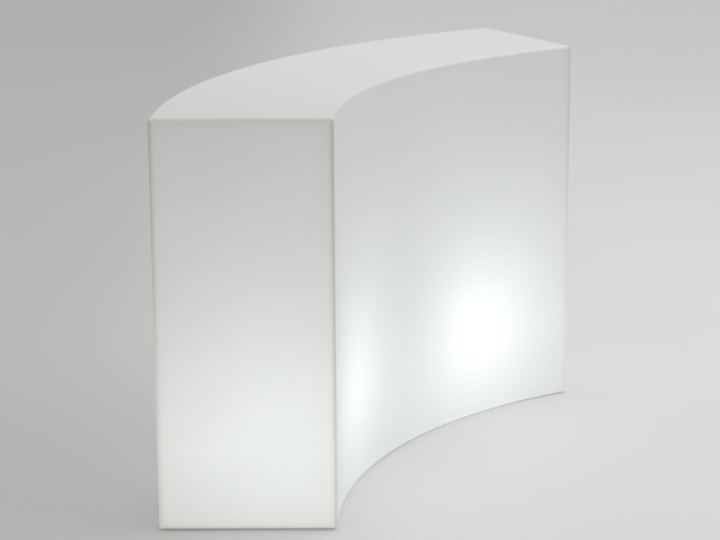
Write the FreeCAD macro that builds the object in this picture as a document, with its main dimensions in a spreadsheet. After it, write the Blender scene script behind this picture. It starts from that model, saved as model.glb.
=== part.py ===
import FreeCAD, Part
import math
import os
import re
import Sketcher

# Illuminated bar counter: one sixth of a ring bar, a hollow translucent moulding lit by two lamps.
# Millimetres. Z is up from the floor, X runs along the counter, the hollow side of the curve faces -Y.
# The origin is the middle of the footprint, so the ring's centre lies at y = -ring_centre.

Vector = FreeCAD.Vector
Constraint = Sketcher.Constraint

DIMENSIONS = {
    # Moulded body
    "counter_height": 1100,
    "inner_radius": 1400,
    "counter_depth": 470,
    "sweep_angle": 60,
    "edge_radius": 10,
    "wall": 6,
    "floor_gap": 4,
    "rim_width": 50,
    "recess_depth": 60,
    "notch_width": 30,
    "notch_height": 18,
    "notch_offset": 200,
    # Levelling feet
    "foot_inset": 85,
    "foot_end_inset": 90,
    "foot_insert_width": 16,
    "foot_insert_length": 28,
    "foot_insert_floor": 2,
    "stud_diameter": 10,
    "stud_hex_width": 17,
    "stud_hex_height": 6,
    "stud_hex_gap": 0.5,
    "stud_collar_diameter": 14,
    "thread_clearance": 0.05,
    "socket_clearance": 0.1,
    "socket_depth": 5,
    "pad_diameter": 44,
    "pad_floor": 3,
    "sole_diameter": 40,
    "sole_height": 3,
    # Lamp hatches in the base
    "opening_length": 150,
    "opening_width": 110,
    "opening_radius": 12,
    "hatch_margin": 30,
    "hatch_radius": 15,
    "hatch_thickness": 5,
    "hatch_rib_length": 90,
    "hatch_rib_width": 4,
    "hatch_rib_height": 8,
    "hatch_rib_spacing": 90,
    "gasket_thickness": 3,
    "gasket_width": 9,
    "gasket_setback": 1,
    "boss_cover": 6,
    "boss_bottom": 2,
    "screw_diameter": 5,
    "screw_length": 16,
    "screw_head_width": 8,
    "screw_head_height": 3.5,
    "hole_clearance": 0.3,
    # Lampholders and lamps
    "holder_base_width": 46,
    "holder_base_height": 14,
    "holder_height": 55,
    "holder_body_diameter": 40,
    "holder_bore_diameter": 27.2,
    "holder_bore_depth": 30,
    "holder_bolt_diameter": 10,
    "holder_bolt_depth": 12,
    "holder_bolt_head_width": 17,
    "holder_bolt_head_height": 6,
    "cap_diameter": 26.4,
    "cap_gap": 1,
    "housing_neck_diameter": 38,
    "housing_neck_height": 12,
    "housing_diameter": 60,
    "housing_height": 45,
    "diffuser_diameter": 56,
    "diffuser_height": 168,
    "diffuser_chamfer": 6,
    # Wiring inside the body
    "block_length": 30,
    "block_width": 18,
    "block_height": 18,
    "block_offset": 40,
    "block_ways": 3,
    "block_fin": 2,
    "block_way_depth": 7,
    "lead_diameter": 5,
    "lead_level": 7,
    "link_diameter": 7,
    "clip_spacing": 180,
    "clip_width": 12,
    "clip_length": 22,
    "clip_cover": 3,
    "clip_clearance": 0.1,
    # Cable gland in the left hatch
    "gland_offset": 38,
    "gland_thread_diameter": 16,
    "gland_hex_width": 22,
    "gland_hex_height": 6,
    "gland_tail": 10,
    "gland_tip": 4,
    "gland_bore_diameter": 11,
    "gland_nut_floor": 5,
    "gland_nut_gap": 1,
    "gland_nose_diameter": 19,
    "gland_nose_height": 4,
    "gland_locknut_height": 5,
    "gland_clearance": 0.1,
    "seal_bore_diameter": 8,
    "seal_diameter": 12.8,
    "seal_seat": 7,
    "seal_projection": 2,
}

# Levels and sizes that follow from the driving dimensions
DERIVED = {
    "outer_radius": "(inner_radius + counter_depth)",
    "half_sweep": "(sweep_angle / 2 * 1 deg)",
    "end_turn": "(half_sweep - asin(edge_radius / (inner_radius + edge_radius)))",
    "inner_corner": "((inner_radius + edge_radius) * cos(end_turn) - edge_radius)",
    "ring_centre": "((outer_radius + inner_corner) / 2)",
    "base_under": "(floor_gap + recess_depth)",
    "base_top": "(base_under + wall)",
    "collar_base": "(sole_height + pad_floor)",
    "pad_top": "(collar_base + socket_depth)",
    "hex_base": "(pad_top + stud_hex_gap)",
    "hex_top": "(hex_base + stud_hex_height)",
    "insert_end": "(base_under + foot_insert_length - foot_insert_floor)",
    "lamp_ring": "(inner_radius + counter_depth / 2)",
    "lamp_x": "(lamp_ring * sin(half_sweep / 2))",
    "lamp_y": "(lamp_ring * cos(half_sweep / 2) - ring_centre)",
    "plate_top": "(base_under - gasket_thickness)",
    "plate_under": "(plate_top - hatch_thickness)",
    "plate_length": "(opening_length + 2 * hatch_margin)",
    "plate_width": "(opening_width + 2 * hatch_margin)",
    "screw_x": "((opening_length + hatch_margin) / 2)",
    "screw_y": "((opening_width + hatch_margin) / 2)",
    "screw_hole": "(screw_diameter / 2 + hole_clearance)",
    "screw_end": "(plate_under + screw_length)",
    "holder_shoulder": "(plate_top + holder_base_height)",
    "holder_top": "(plate_top + holder_height)",
    "bore_floor": "(holder_top - holder_bore_depth)",
    "cap_top": "(holder_top + cap_gap)",
    "housing_top": "(cap_top + housing_height)",
    "diffuser_top": "(housing_top + diffuser_height)",
    "block_y": "(lamp_y + block_offset)",
    "link_level": "(base_top + link_diameter / 2)",
    "tail_end": "(plate_under - gland_hex_height - gland_tail)",
    "seal_base": "(tail_end - seal_projection)",
    "nut_base": "(seal_base - gland_nut_floor)",
    "nose_top": "(nut_base + gland_nose_height)",
    "nut_top": "(plate_under - gland_hex_height - gland_nut_gap)",
    "locknut_top": "(plate_top + gland_locknut_height)",
}

HEX_CORNER = "/ (2 * cos(30 deg))"

doc = FreeCAD.newDocument("bar_counter")
sheet = doc.addObject("Spreadsheet::Sheet", "Dims")
for row, (alias, value) in enumerate(DIMENSIONS.items(), 1):
    sheet.set(f"A{row}", alias)
    sheet.set(f"B{row}", str(value))
    sheet.setAlias(f"B{row}", alias)
doc.recompute()

nodes = []


def linked(text):
    """Turns plain names into references to the sheet's cells."""

    def expand(match):
        word = match.group(0)
        if word in DIMENSIONS:
            return "Dims." + word
        return linked(DERIVED[word]) if word in DERIVED else word

    return re.sub(r"[a-z_]+", expand, text)


def size(text):
    """The present value of an expression, in millimetres or degrees."""
    value = sheet.evalExpression(linked(text))
    return float(getattr(value, "Value", value))


def bind(item, **paths):
    """Binds an object's properties to expressions over the sheet."""
    for path, text in paths.items():
        item.setExpression(path, linked(text))


def place(item, x="0", y="0", z="0"):
    """Binds an object's position to expressions over the sheet."""
    for axis, text in zip("xyz", (x, y, z)):
        item.setExpression("Placement.Base." + axis, linked(text))
    return item


def keep(item, label):
    """Makes an object a finished sub-part under its own name."""
    item.Label = label
    nodes.append(item)
    return item


def cylinder(name, radius, height, x="0", y="0", z="0"):
    item = doc.addObject("Part::Cylinder", name)
    bind(item, Radius=radius, Height=height)
    return place(item, x, y, z)


def lying_cylinder(name, radius, length, axis, x, y, z):
    """A cylinder that starts at (x, y, z) and runs along the given axis."""
    item = doc.addObject("Part::Cylinder", name)
    bind(item, Radius=radius, Height=length)
    item.Placement.Rotation = FreeCAD.Rotation(Vector(0, 0, 1), axis)
    return place(item, x, y, z)


def hexagon(name, width, height, x="0", y="0", z="0"):
    """A hexagonal bar measured across its flats."""
    item = doc.addObject("Part::Prism", name)
    item.Polygon = 6
    bind(item, Circumradius=f"{width} {HEX_CORNER}", Height=height)
    return place(item, x, y, z)


def box(name, length, width, height, x, y, z):
    """A box centred on x and y that stands on z."""
    item = doc.addObject("Part::Box", name)
    bind(item, Length=length, Width=width, Height=height)
    return place(item, f"{x} - {length} / 2", f"{y} - {width} / 2", z)


def fuse(name, *shapes):
    item = doc.addObject("Part::MultiFuse", name)
    item.Shapes = list(shapes)
    return item


def cut(name, base, *tools):
    item = doc.addObject("Part::Cut", name)
    item.Base = base
    item.Tool = tools[0] if len(tools) == 1 else fuse(name + "_cuts", *tools)
    return item


def group(name, *shapes):
    """Identical small pieces that share one name."""
    item = doc.addObject("Part::Compound", name)
    item.Links = list(shapes)
    return item


def new_sketch(body, name, role):
    sketch = body.newObject("Sketcher::SketchObject", name)
    plane = [item for item in body.Origin.OriginFeatures if item.Role == role][0]
    sketch.AttachmentSupport = [(plane, "")]
    sketch.MapMode = "FlatFace"
    return sketch


def dimension(sketch, constraint, label, text):
    """Adds a named constraint whose value follows the sheet."""
    index = sketch.addConstraint(constraint)
    sketch.renameConstraint(index, label)
    sketch.setExpression("Constraints." + label, linked(text))


def sector(body, name, inset):
    """The counter's plan about the ring's centre, drawn in from its outline by the inset."""
    sketch = new_sketch(body, name, "XY_Plane")
    step = size(inset)
    half = math.radians(size("sweep_angle") / 2)
    radii = size("inner_radius") + step, size("outer_radius") - step
    arcs, corners = [], []
    for radius in radii:
        start = math.pi / 2 - half + math.asin(step / radius)
        circle = Part.Circle(Vector(), Vector(0, 0, 1), radius)
        arcs.append(sketch.addGeometry(Part.ArcOfCircle(circle, start, math.pi - start)))
        corners.append(Vector(radius * math.cos(start), radius * math.sin(start), 0))
        sketch.addConstraint(Constraint("Coincident", arcs[-1], 3, -1, 1))
    dimension(sketch, Constraint("Radius", arcs[0], radii[0]), "inner", f"inner_radius + {inset}")
    dimension(sketch, Constraint("Radius", arcs[1], radii[1]), "outer", f"outer_radius - {inset}")
    for label, sign, end in (("right", -1, 1), ("left", 1, 2)):
        ends = [Vector(-sign * corner.x, corner.y, 0) for corner in corners]
        line = sketch.addGeometry(Part.LineSegment(*ends))
        for position, arc in enumerate(arcs, 1):
            sketch.addConstraint(Constraint("Coincident", line, position, arc, end))
        slope = Constraint("Angle", -1, 1, line, 1, math.pi / 2 + sign * half)
        dimension(sketch, slope, label + "_slope", f"90 + {sign} * sweep_angle / 2")
        if step:
            dimension(sketch, Constraint("Distance", -1, 1, line, step), label + "_inset", inset)
        else:
            sketch.addConstraint(Constraint("PointOnObject", -1, 1, line))
    return sketch


def outline(body, name, points, role="XZ_Plane"):
    """A closed outline. A point is (across, up), or (across, up, radius, turn) where a quarter arc ends:
    turn is 1 for an arc that runs anticlockwise and -1 for the other way."""
    sketch = new_sketch(body, name, role)
    places = [Vector(size(point[0]), size(point[1]), 0) for point in points]
    runs = []
    for index, point in enumerate(points):
        first, last = places[index - 1], places[index]
        if len(point) == 2:
            runs.append((sketch.addGeometry(Part.LineSegment(first, last)), 1, 2))
            continue
        radius, turn = size(point[2]), point[3]
        chord = last - first
        rise = math.sqrt(max(radius**2 - chord.Length**2 / 4, 0))
        normal = Vector(-chord.y, chord.x, 0) * (turn * rise / chord.Length)
        centre = (first + last) / 2 + normal
        angles = [math.atan2(end.y - centre.y, end.x - centre.x) for end in (first, last)][::turn]
        circle = Part.Circle(centre, Vector(0, 0, 1), radius)
        arc = sketch.addGeometry(Part.ArcOfCircle(circle, angles[0], angles[1]))
        runs.append((arc, 1, 2) if turn > 0 else (arc, 2, 1))
    for index, point in enumerate(points):
        run, _, end = runs[index]
        following = runs[(index + 1) % len(runs)]
        sketch.addConstraint(Constraint("Coincident", run, end, following[0], following[1]))
        for kind, axis, text, value in (
            ("DistanceX", -2, point[0], places[index].x),
            ("DistanceY", -1, point[1], places[index].y),
        ):
            if abs(value) < 1e-9:
                sketch.addConstraint(Constraint("PointOnObject", run, end, axis))
            else:
                dimension(sketch, Constraint(kind, -1, 1, run, end, value), f"{kind}_{index}", text)
        if len(point) == 4:
            dimension(sketch, Constraint("Radius", run, size(point[2])), f"Radius_{index}", point[2])
    return sketch


def turned(name, points, x="0", y="0"):
    """A solid of revolution about a vertical axis, from (radius, height) points."""
    body = doc.addObject("PartDesign::Body", name)
    sketch = outline(body, name + "_profile", points)
    solid = body.newObject("PartDesign::Revolution", name + "_turned")
    solid.Profile = sketch
    solid.ReferenceAxis = (sketch, ["V_Axis"])
    solid.Angle = 360
    return place(body, x, y)


def sector_block(name, inset, lower, upper, rounding=None):
    """A block over the counter's plan between two levels, with all its edges rounded if asked."""
    body = doc.addObject("PartDesign::Body", name)
    block = body.newObject("PartDesign::Pad", name + "_block")
    block.Profile = sector(body, name + "_plan", inset)
    bind(block, Length=f"{upper} - {lower}")
    if rounding:
        doc.recompute()
        rounds = body.newObject("PartDesign::Fillet", name + "_rounds")
        rounds.Base = (block, [""])
        rounds.UseAllEdges = True
        bind(rounds, Radius=rounding)
    return place(body, "0", "-ring_centre", lower)


def rounded_plate(name, length, width, radius, lower, upper, x, y):
    """A flat plate with rounded corners, centred on x and y, between two levels."""
    body = doc.addObject("PartDesign::Body", name)
    points = [
        (f"{length} - {radius}", "0"),
        (length, radius, radius, 1),
        (length, f"{width} - {radius}"),
        (f"{length} - {radius}", width, radius, 1),
        (radius, width),
        ("0", f"{width} - {radius}", radius, 1),
        ("0", radius),
        (radius, "0", radius, 1),
    ]
    plate = body.newObject("PartDesign::Pad", name + "_plate")
    plate.Profile = outline(body, name + "_outline", points, "XY_Plane")
    bind(plate, Length=f"{upper} - {lower}")
    return place(body, f"{x} - {length} / 2", f"{y} - {width} / 2", lower)


def screw_spots(x, y):
    """The four screw positions of a hatch."""
    for across in (-1, 1):
        for along in (-1, 1):
            yield f"{x} + {across} * screw_x", f"{y} + {along} * screw_y"


# Where the feet and the lamps stand
FOOT_RINGS = {
    "outer": ("(outer_radius - foot_inset)", {"left": -1, "middle": 0, "right": 1}),
    "inner": ("(inner_radius + foot_inset)", {"left": -1, "right": 1}),
}
feet = {}
for ring, (radius, ends) in FOOT_RINGS.items():
    for end, sign in ends.items():
        turn = f"({sign} * (half_sweep - asin(foot_end_inset / {radius})))"
        feet[f"{end}_{ring}"] = (f"({radius} * sin({turn}))", f"({radius} * cos({turn}) - ring_centre)")

lamps = {"left": ("(-lamp_x)", "lamp_y"), "right": ("lamp_x", "lamp_y")}


def foot_sites():
    """Bosses over the recessed base for the feet, and the blind inserts that the studs screw into."""
    bosses, blocks, inserts = [], [], []
    for foot, (x, y) in feet.items():
        radius = f"foot_insert_width {HEX_CORNER} + wall"
        bosses.append(cylinder(f"foot_boss_{foot}", radius, "foot_insert_length + wall", x, y, "base_under"))
        block = hexagon(f"insert_block_{foot}", "foot_insert_width", "foot_insert_length", x, y, "base_under")
        bore_radius = "stud_diameter / 2 + thread_clearance"
        bore = cylinder(f"insert_bore_{foot}", bore_radius, "insert_end - base_under", x, y, "base_under")
        inserts.append(cut(f"insert_{foot}", block, bore))
        blocks.append(block)
    keep(group("inserts", *inserts), "foot_inserts")
    return bosses, blocks


def hatch_sites():
    """Lamp openings in the base, and the bosses with blind holes that the hatches screw to."""
    openings, bosses, holes = [], [], []
    opening_size = "opening_length", "opening_width", "opening_radius"
    for side, (x, y) in lamps.items():
        openings.append(rounded_plate(f"opening_{side}", *opening_size, "base_under", "base_top", x, y))
        for index, spot in enumerate(screw_spots(x, y)):
            mark = f"{side}_{index}"
            depth = "screw_end + boss_bottom - base_under"
            hole_radius = "screw_diameter / 2 + thread_clearance"
            holes.append(cylinder(f"boss_hole_{mark}", hole_radius, depth, *spot, "base_under"))
            boss_radius = "screw_diameter / 2 + boss_cover"
            boss_height = f"{depth} + boss_cover"
            bosses.append(cylinder(f"hatch_boss_{mark}", boss_radius, boss_height, *spot, "base_under"))
    return openings, bosses, holes


def cable_notch(name, margin):
    """The arched way through the outer rim for the mains lead, grown by a margin."""
    radius = f"(notch_width / 2 + {margin})"
    length = "(3 * rim_width)"
    spring = "(floor_gap + notch_height - notch_width / 2)"
    start = f"outer_radius - ring_centre + edge_radius - {length}"
    arch = lying_cylinder(name + "_arch", radius, length, Vector(0, 1, 0), "-notch_offset", start, spring)
    way = doc.addObject("Part::Box", name + "_way")
    bind(way, Length=f"2 * {radius}", Width=length, Height=spring)
    place(way, f"-notch_offset - {radius}", start)
    return fuse(name, arch, way)


def counter_shell():
    """The one-piece moulding: walls, top, rim, recessed base with its bosses, and the cable notch."""
    body = sector_block("body", "0", "floor_gap", "counter_height", "edge_radius")
    hollow = sector_block("hollow", "wall", "(floor_gap + wall)", "(counter_height - wall)")
    recess = sector_block("recess", "rim_width", "0", "base_under")
    recess_skin = sector_block("recess_skin", "(rim_width - wall)", "0", "base_top")
    foot_bosses, foot_blocks = foot_sites()
    openings, hatch_bosses, screw_holes = hatch_sites()
    notch, notch_skin = cable_notch("notch", "0"), cable_notch("notch_skin", "wall")
    cavity = cut("cavity", hollow, recess_skin, notch_skin, *foot_bosses, *hatch_bosses)
    outside = [recess, notch, *openings, *foot_blocks, *screw_holes]
    keep(cut("moulding", body, cavity, *outside), "counter_shell")


def levelling_foot(foot, x, y):
    """A screw foot: stud with its hexagon and collar, the pad that the collar turns in, and a rubber sole."""
    collar_height = "hex_base - collar_base"
    collar = cylinder(f"collar_{foot}", "stud_collar_diameter / 2", collar_height, x, y, "collar_base")
    nut = hexagon(f"hexagon_{foot}", "stud_hex_width", "stud_hex_height", x, y, "hex_base")
    shank = cylinder(f"shank_{foot}", "stud_diameter / 2", "insert_end - hex_top", x, y, "hex_top")
    keep(fuse(f"stud_{foot}", collar, nut, shank), f"foot_stud_{foot}")
    disc = cylinder(f"disc_{foot}", "pad_diameter / 2", "pad_floor + socket_depth", x, y, "sole_height")
    socket_radius = "stud_collar_diameter / 2 + socket_clearance"
    socket = cylinder(f"socket_{foot}", socket_radius, "socket_depth", x, y, "collar_base")
    keep(cut(f"pad_{foot}", disc, socket), f"foot_pad_{foot}")
    keep(cylinder(f"sole_{foot}", "sole_diameter / 2", "sole_height", x, y), f"foot_sole_{foot}")


def lamp_hatch(side, x, y):
    """Ribbed cover plate, gasket and hexagon screws that close one lamp opening."""
    plate = rounded_plate(
        f"cover_{side}", "plate_length", "plate_width", "hatch_radius", "plate_under", "plate_top", x, y
    )
    ribs, holes, screws = [], [], []
    for index, sign in enumerate((-1, 1)):
        rib_x = f"({x} + {sign} * hatch_rib_spacing / 2)"
        rib_size = "hatch_rib_width", "hatch_rib_length", "hatch_rib_height"
        ribs.append(box(f"rib_{side}_{index}", *rib_size, rib_x, y, "plate_under - hatch_rib_height"))
    for index, spot in enumerate(screw_spots(x, y)):
        mark = f"{side}_{index}"
        holes.append(cylinder(f"screw_way_{mark}", "screw_hole", "hatch_thickness", *spot, "plate_under"))
        head_base = "plate_under - screw_head_height"
        head = hexagon(f"screw_head_{mark}", "screw_head_width", "screw_head_height", *spot, head_base)
        shank = cylinder(f"screw_shank_{mark}", "screw_diameter / 2", "screw_length", *spot, "plate_under")
        screws.append(fuse(f"screw_{mark}", head, shank))
    bolt_hole = "holder_bolt_diameter / 2 + hole_clearance"
    holes.append(cylinder(f"bolt_way_{side}", bolt_hole, "hatch_thickness", x, y, "plate_under"))
    if side == "left":
        radius = "gland_thread_diameter / 2 + gland_clearance"
        gland_y = f"{y} - gland_offset"
        holes.append(cylinder("gland_way", radius, "hatch_thickness", x, gland_y, "plate_under"))
    keep(cut(f"hatch_{side}", fuse(f"ribbed_{side}", plate, *ribs), *holes), f"lamp_hatch_{side}")
    keep(group(f"screws_{side}", *screws), f"hatch_screws_{side}")
    frame = []
    for edge, reach in (("outer", "(gasket_setback + gasket_width)"), ("inner", "gasket_setback")):
        length, width = f"(opening_length + 2 * {reach})", f"(opening_width + 2 * {reach})"
        corner = f"(opening_radius + {reach})"
        name = f"gasket_{edge}_{side}"
        frame.append(rounded_plate(name, length, width, corner, "plate_top", "base_under", x, y))
    keep(cut(f"gasket_{side}", *frame), f"hatch_gasket_{side}")


def lampholder(side, x, y):
    """Ceramic screw lampholder on a square base, held to the hatch by a hexagon bolt from below."""
    base_size = "holder_base_width", "holder_base_width", "holder_base_height"
    base = box(f"holder_base_{side}", *base_size, x, y, "plate_top")
    barrel_height = "holder_top - holder_shoulder"
    barrel = cylinder(
        f"holder_barrel_{side}", "holder_body_diameter / 2", barrel_height, x, y, "holder_shoulder"
    )
    bore_radius = "holder_bore_diameter / 2"
    bore = cylinder(f"holder_bore_{side}", bore_radius, "holder_bore_depth", x, y, "bore_floor")
    thread_radius = "holder_bolt_diameter / 2 + thread_clearance"
    thread = cylinder(f"holder_thread_{side}", thread_radius, "holder_bolt_depth", x, y, "plate_top")
    blank = fuse(f"holder_blank_{side}", base, barrel)
    keep(cut(f"holder_{side}", blank, bore, thread), f"lampholder_{side}")
    head_base = "plate_under - holder_bolt_head_height"
    head = hexagon(
        f"bolt_head_{side}", "holder_bolt_head_width", "holder_bolt_head_height", x, y, head_base
    )
    shank_length = "hatch_thickness + holder_bolt_depth"
    shank = cylinder(f"bolt_shank_{side}", "holder_bolt_diameter / 2", shank_length, x, y, "plate_under")
    keep(fuse(f"bolt_{side}", head, shank), f"lampholder_bolt_{side}")


def lamp(side, x, y):
    """Stick lamp: screw cap, stepped driver housing and a tall diffuser with a bevelled end."""
    cap = cylinder(f"cap_{side}", "cap_diameter / 2", "cap_top - bore_floor", x, y, "bore_floor")
    keep(cap, f"bulb_cap_{side}")
    housing = turned(
        f"housing_{side}",
        [
            ("0", "cap_top"),
            ("housing_neck_diameter / 2", "cap_top"),
            ("housing_neck_diameter / 2", "cap_top + housing_neck_height"),
            ("housing_diameter / 2", "cap_top + housing_neck_height"),
            ("housing_diameter / 2", "housing_top"),
            ("0", "housing_top"),
        ],
        x,
        y,
    )
    keep(housing, f"bulb_housing_{side}")
    diffuser = turned(
        f"diffuser_{side}",
        [
            ("0", "housing_top"),
            ("diffuser_diameter / 2", "housing_top"),
            ("diffuser_diameter / 2", "diffuser_top - diffuser_chamfer"),
            ("diffuser_diameter / 2 - diffuser_chamfer", "diffuser_top"),
            ("0", "diffuser_top"),
        ],
        x,
        y,
    )
    keep(diffuser, f"bulb_diffuser_{side}")


def terminal_block(side, x):
    """Barrier terminal block on the hatch plate, and the lead from it to the lampholder."""
    block_size = "block_length", "block_width", "block_height"
    block = box(f"block_{side}", *block_size, x, "block_y", "plate_top")
    ways = []
    for index in range(DIMENSIONS["block_ways"]):
        pitch = "((block_length - block_fin) / block_ways)"
        way_x = f"({x} - block_length / 2 + block_fin / 2 + {index + 0.5} * {pitch})"
        way_size = f"({pitch} - block_fin)", "block_width", "block_way_depth"
        way_base = "plate_top + block_height - block_way_depth"
        ways.append(box(f"way_{side}_{index}", *way_size, way_x, "block_y", way_base))
    keep(cut(f"terminals_{side}", block, *ways), f"terminal_block_{side}")
    length = "block_offset - block_width / 2 - holder_base_width / 2"
    start = "lamp_y + holder_base_width / 2", "plate_top + lead_level"
    lead = lying_cylinder(f"lead_{side}", "lead_diameter / 2", length, Vector(0, 1, 0), x, *start)
    keep(lead, f"lamp_lead_{side}")


def link_cable():
    """The cable that lies on the base between the two terminal blocks, and the clips that hold it down."""
    length = "2 * lamp_x - block_length"
    start = "-lamp_x + block_length / 2"
    along = Vector(1, 0, 0)
    cable = lying_cylinder("link", "link_diameter / 2", length, along, start, "block_y", "link_level")
    keep(cable, "link_cable")
    clips = []
    for index in (-1, 1):
        x = f"({index} * clip_spacing)"
        clip_size = "clip_width", "clip_length", "(link_diameter + clip_cover)"
        bridge = box(f"bridge_{index}", *clip_size, x, "block_y", "base_top")
        radius = "(link_diameter / 2 + clip_clearance)"
        groove_start = f"{x} - clip_width / 2", "block_y", "link_level"
        groove = lying_cylinder(f"groove_{index}", radius, "clip_width", along, *groove_start)
        gate_size = "clip_width", f"(2 * {radius})", "link_diameter / 2"
        gate = box(f"gate_{index}", *gate_size, x, "block_y", "base_top")
        clips.append(cut(f"clip_{index}", bridge, groove, gate))
    keep(group("clips", *clips), "cable_clips")


def cable_gland(x, lamp_y):
    """Gland through the left hatch: body, locknut above the plate, cap nut and seal below it."""
    y = f"({lamp_y} - gland_offset)"
    thread = "gland_thread_diameter / 2"
    stem = cylinder("gland_stem", thread, "locknut_top + gland_tip - tail_end", x, y, "tail_end")
    collar_base = "plate_under - gland_hex_height"
    collar = hexagon("gland_collar", "gland_hex_width", "gland_hex_height", x, y, collar_base)
    bore = cylinder("gland_bore", "gland_bore_diameter / 2", "counter_height", x, y)
    seat = cylinder("seal_seat_bore", "seal_diameter / 2 + gland_clearance", "tail_end + seal_seat", x, y)
    keep(cut("gland", fuse("gland_blank", stem, collar), bore, seat), "gland_body")
    lock = hexagon("locknut_blank", "gland_hex_width", "gland_locknut_height", x, y, "plate_top")
    fit = f"{thread} + gland_clearance"
    lock_bore = cylinder("locknut_bore", fit, "gland_locknut_height", x, y, "plate_top")
    keep(cut("locknut", lock, lock_bore), "gland_locknut")
    nose = cylinder("nut_nose", "gland_nose_diameter / 2", "gland_nose_height", x, y, "nut_base")
    grip = hexagon("nut_grip", "gland_hex_width", "nut_top - nose_top", x, y, "nose_top")
    entry = cylinder("nut_entry", "gland_bore_diameter / 2", "gland_nut_floor", x, y, "nut_base")
    inside = cylinder("nut_inside", fit, "nut_top - seal_base", x, y, "seal_base")
    keep(cut("cap_nut", fuse("nut_blank", nose, grip), entry, inside), "gland_nut")
    length = "seal_projection + seal_seat"
    sleeve = cylinder("sleeve", "seal_diameter / 2", length, x, y, "seal_base")
    sleeve_bore = cylinder("sleeve_bore", "seal_bore_diameter / 2", length, x, y, "seal_base")
    keep(cut("seal", sleeve, sleeve_bore), "gland_seal")


counter_shell()
for foot, spot in feet.items():
    levelling_foot(foot, *spot)
for side, spot in lamps.items():
    lamp_hatch(side, *spot)
    lampholder(side, *spot)
    lamp(side, *spot)
    terminal_block(side, spot[0])
link_cable()
cable_gland(*lamps["left"])
doc.recompute()

failed = [item.Name for item in doc.Objects if {"Invalid", "Error"} & set(item.State)]
failed += [node.Label for node in nodes if node.Shape.isNull() or not node.Shape.isValid()]
if failed:
    raise RuntimeError("not built: " + ", ".join(failed))

os.makedirs("parts", exist_ok=True)
for node in nodes:
    node.Shape.exportStep(f"parts/{node.Label}.step")
print(len(nodes), "sub-parts written")
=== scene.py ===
import math

import bpy
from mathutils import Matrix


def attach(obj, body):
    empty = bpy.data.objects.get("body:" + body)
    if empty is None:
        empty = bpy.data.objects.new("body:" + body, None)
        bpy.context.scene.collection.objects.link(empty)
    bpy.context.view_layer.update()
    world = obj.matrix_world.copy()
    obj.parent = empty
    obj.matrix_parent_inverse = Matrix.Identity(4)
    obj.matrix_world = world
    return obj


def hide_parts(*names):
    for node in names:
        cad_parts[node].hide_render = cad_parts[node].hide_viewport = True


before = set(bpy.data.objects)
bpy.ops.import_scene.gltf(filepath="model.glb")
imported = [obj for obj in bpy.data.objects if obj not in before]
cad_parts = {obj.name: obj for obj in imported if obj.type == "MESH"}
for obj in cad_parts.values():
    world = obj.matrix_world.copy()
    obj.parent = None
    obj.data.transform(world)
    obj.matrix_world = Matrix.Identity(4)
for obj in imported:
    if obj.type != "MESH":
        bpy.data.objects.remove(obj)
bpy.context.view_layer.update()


# Moulded body
# One hollow polyethylene moulding, a sixth of a ring with rounded edges and 6 mm walls.
# Its base is set up inside a standing rim, with bosses for the feet and for the two lamp hatches.

inside_radius, counter_depth = 1.400, 0.470
middle_radius, outside_radius = inside_radius + counter_depth / 2, inside_radius + counter_depth
half_sweep = math.radians(30)
edge_radius, wall, rim_width = 0.010, 0.006, 0.050
top_level, rim_level, base_level = 1.100, 0.004, 0.064

# The origin is the middle of the footprint, and the ring's centre lies at y = ring_y
end_turn = half_sweep - math.asin(edge_radius / (inside_radius + edge_radius))
inner_corner = (inside_radius + edge_radius) * math.cos(end_turn) - edge_radius
ring_y = -(outside_radius + inner_corner) / 2

foot_inset, foot_end_inset = 0.085, 0.090
foot_rings = {"outer": outside_radius - foot_inset, "inner": inside_radius + foot_inset}
foot_spots = {"middle_outer": (0.0, foot_rings["outer"] + ring_y)}
for ring, radius in foot_rings.items():
    turn = half_sweep - math.asin(foot_end_inset / radius)
    for end, side in (("left", -1), ("right", 1)):
        foot_spots[f"{end}_{ring}"] = (side * radius * math.sin(turn), radius * math.cos(turn) + ring_y)
insert_width, insert_top = 0.016, 0.092
insert_corner = insert_width / math.sqrt(3)
foot_boss_top = insert_top + wall

lamp_x = middle_radius * math.sin(half_sweep / 2)
lamp_y = middle_radius * math.cos(half_sweep / 2) + ring_y
lamp_spots = {"left": (-lamp_x, lamp_y), "right": (lamp_x, lamp_y)}
opening_length, opening_width, opening_corner = 0.150, 0.110, 0.012
opening_size, opening_low, opening_high = (opening_length, opening_width), 0.060, 0.072
hatch_margin = 0.030
screw_x, screw_y = (opening_length + hatch_margin) / 2, (opening_width + hatch_margin) / 2
screw_steps = [(across * screw_x, along * screw_y) for across in (-1, 1) for along in (-1, 1)]
screw_radius, screw_end, thread_clearance, drilled_over = 0.0025, 0.072, 0.00005, 0.002
screw_hole_radius, screw_hole_end = screw_radius + thread_clearance, screw_end + drilled_over

notch_x, notch_radius, notch_height, notch_length = -0.200, 0.015, 0.018, 0.150
below_floor = -0.010
cut_over = 0.001
cut_start = base_level - cut_over


def deselect():
    if bpy.context.mode != "OBJECT":
        bpy.ops.object.mode_set(mode="OBJECT")
    bpy.ops.object.select_all(action="DESELECT")


def make_active(piece):
    """Selects one piece alone."""
    deselect()
    piece.select_set(True)
    bpy.context.view_layer.objects.active = piece


def settle(name):
    """Ends the shaping of the active object: named, at the origin, unturned and unscaled."""
    if bpy.context.mode != "OBJECT":
        bpy.ops.object.mode_set(mode="OBJECT")
    bpy.ops.object.transform_apply(location=True, rotation=True, scale=True)
    piece = bpy.context.object
    piece.name = piece.data.name = name
    return piece


def clean_mesh():
    """Merges doubles and turns every face outwards, in edit mode."""
    bpy.ops.mesh.select_all(action="SELECT")
    bpy.ops.mesh.remove_doubles(threshold=1e-6)
    bpy.ops.mesh.normals_make_consistent(inside=False)


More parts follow.
